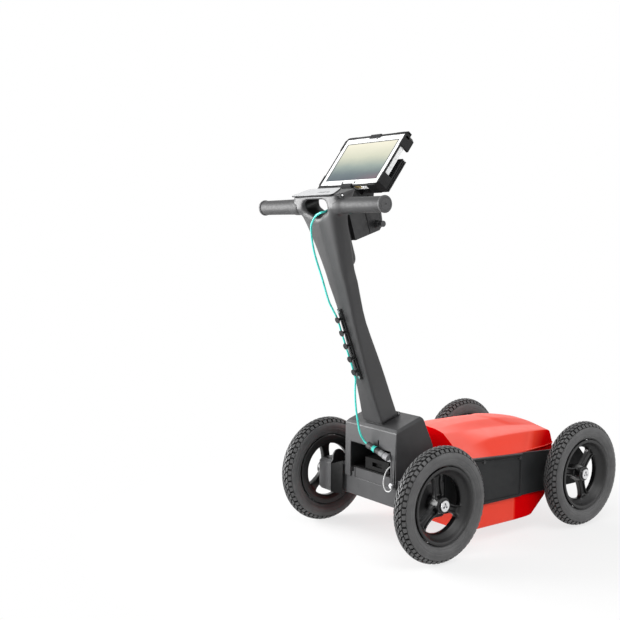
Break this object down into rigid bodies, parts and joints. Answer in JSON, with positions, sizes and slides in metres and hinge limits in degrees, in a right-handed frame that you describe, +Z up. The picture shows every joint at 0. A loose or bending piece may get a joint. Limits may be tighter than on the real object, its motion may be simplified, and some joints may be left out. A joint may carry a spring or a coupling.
{
  "type": "ground penetrating radar cart",
  "caption": "Push cart with a low radar antenna housing on pneumatic-style wheels, a leaning folding column with a handlebar, and a tilting tablet display.",
  "frame": {"origin": "on the ground under the middle of the cart's bounding box, midway between the left and right wheels", "axes": "+X forward, the way the cart is pushed; +Y to the operator's left; +Z up"},
  "size_m": [1.0088, 0.55, 1.1539],
  "materials": {
    "red_shell": "satin orange-red moulded shell",
    "grey_plastic": "fine-grained dark grey moulding",
    "black_plastic": "satin black moulding",
    "rim": "semi-gloss black wheel moulding",
    "tyre": "matt black rubber",
    "grip_rubber": "matt black soft rubber",
    "steel": "brushed",
    "black_steel": "black painted",
    "aluminium": "satin",
    "tablet_white": "satin white casing",
    "screen": "lit display behind gloss glass",
    "teal_sheath": "turquoise cable sheath",
    "white_sheath": "white plastic-coated wire",
    "circuit_board": "green circuit board",
    "foam": "black absorber foam"
  },
  "bodies": {
    "chassis": {"antenna_tub": "red_shell", "antenna_hood": "red_shell", "bowtie_antennas": "circuit_board", "rf_absorber": "foam", "radar_module": "aluminium", "left_side_rail": "black_plastic", "right_side_rail": "black_plastic", "left_front_carrier": "black_plastic", "right_front_carrier": "black_plastic", "rear_chassis": "grey_plastic", "tower_shell": "grey_plastic", "bay_tray": "black_plastic", "bay_socket": "steel", "cable_plug": "teal_sheath", "encoder_housing": "grey_plastic", "encoder_cover": "grey_plastic", "encoder_sensor": "black_plastic", "right_axle_carrier": "grey_plastic", "wheel_axles": "steel", "chassis_screws": "steel", "hinge_base_leaf": "black_steel", "hinge_pin": "steel", "pin_lanyard": "white_sheath", "data_cable_lower": "teal_sheath"},
    "rear_left_wheel": {"rear_left_tyre": "tyre", "rear_left_rim": "rim", "rear_left_bearings": "steel", "encoder_disc": "black_plastic"},
    "rear_right_wheel": {"rear_right_tyre": "tyre", "rear_right_rim": "rim", "rear_right_bearings": "steel"},
    "front_left_wheel": {"front_left_tyre": "tyre", "front_left_rim": "rim", "front_left_bearings": "steel"},
    "front_right_wheel": {"front_right_tyre": "tyre", "front_right_rim": "rim", "front_right_bearings": "steel"},
    "column": {"column_shell": "grey_plastic", "head_plate": "aluminium", "handle_tubes": "aluminium", "left_grip": "grip_rubber", "right_grip": "grip_rubber", "cable_pegboard": "black_plastic", "column_screws": "steel", "data_cable_upper": "teal_sheath", "display_bracket": "grey_plastic", "hinge_column_leaf": "black_steel"},
    "display": {"display_arm": "black_plastic", "dock_plate": "black_plastic", "tablet_body": "tablet_white", "tablet_glass": "screen", "tablet_battery": "black_plastic", "corner_guards": "grip_rubber"},
    "lever": {"clamp_lever": "steel"},
    "latch": {"dock_latch": "aluminium"},
    "knob": {"head_knob": "black_plastic"},
    "pin": {"lock_pin": "steel"},
    "battery": {"battery_pack": "black_plastic"},
    "key_left": {"tablet_key_left": "black_plastic"},
    "key_right": {"tablet_key_right": "black_plastic"}
  },
  "joints": [
    {"name": "rear_left_spin", "type": "hinge", "parent": "chassis", "child": "rear_left_wheel", "pos_m": [-0.25444, 0.248, 0.159], "axis": [0, 1, 0], "continuous": true},
    {"name": "rear_right_spin", "type": "hinge", "parent": "chassis", "child": "rear_right_wheel", "pos_m": [-0.25444, -0.248, 0.159], "axis": [0, 1, 0], "continuous": true},
    {"name": "front_left_spin", "type": "hinge", "parent": "chassis", "child": "front_left_wheel", "pos_m": [0.34556, 0.248, 0.159], "axis": [0, 1, 0], "continuous": true},
    {"name": "front_right_spin", "type": "hinge", "parent": "chassis", "child": "front_right_wheel", "pos_m": [0.34556, -0.248, 0.159], "axis": [0, 1, 0], "continuous": true},
    {"name": "column_fold", "type": "hinge", "parent": "chassis", "child": "column", "pos_m": [-0.21412, 0, 0.36785], "axis": [0, 1, 0], "range_deg": [0, 88], "deforming": ["data_cable_lower"]},
    {"name": "display_tilt", "type": "hinge", "parent": "column", "child": "display", "pos_m": [-0.31592, 0, 0.90533], "axis": [0, 1, 0], "range_deg": [-10, 35]},
    {"name": "tilt_lever_turn", "type": "hinge", "parent": "column", "child": "lever", "pos_m": [-0.31592, -0.065, 0.90533], "axis": [0, 1, 0], "range_deg": [-30, 90]},
    {"name": "head_knob_turn", "type": "hinge", "parent": "column", "child": "knob", "pos_m": [-0.49609, -0.098, 0.97422], "axis": [0, 1, 0], "continuous": true},
    {"name": "dock_latch_lift", "type": "slide", "parent": "display", "child": "latch", "axis": [0.5948, 0, 0.8039], "range_m": [0, 0.012], "stiffness_N_per_m": 600},
    {"name": "tablet_key_left_press", "type": "slide", "parent": "display", "child": "key_left", "axis": [0.8039, 0, -0.5948], "range_m": [0, 0.0008], "stiffness_N_per_m": 300},
    {"name": "tablet_key_right_press", "type": "slide", "parent": "display", "child": "key_right", "axis": [0.8039, 0, -0.5948], "range_m": [0, 0.0008], "stiffness_N_per_m": 300},
    {"name": "lock_pin_pull", "type": "slide", "parent": "chassis", "child": "pin", "axis": [-1, 0, 0], "range_m": [0, 0.035], "deforming": ["pin_lanyard"]},
    {"name": "battery_slide", "type": "slide", "parent": "chassis", "child": "battery", "axis": [-1, 0, 0], "range_m": [0, 0.11]}
  ]
}
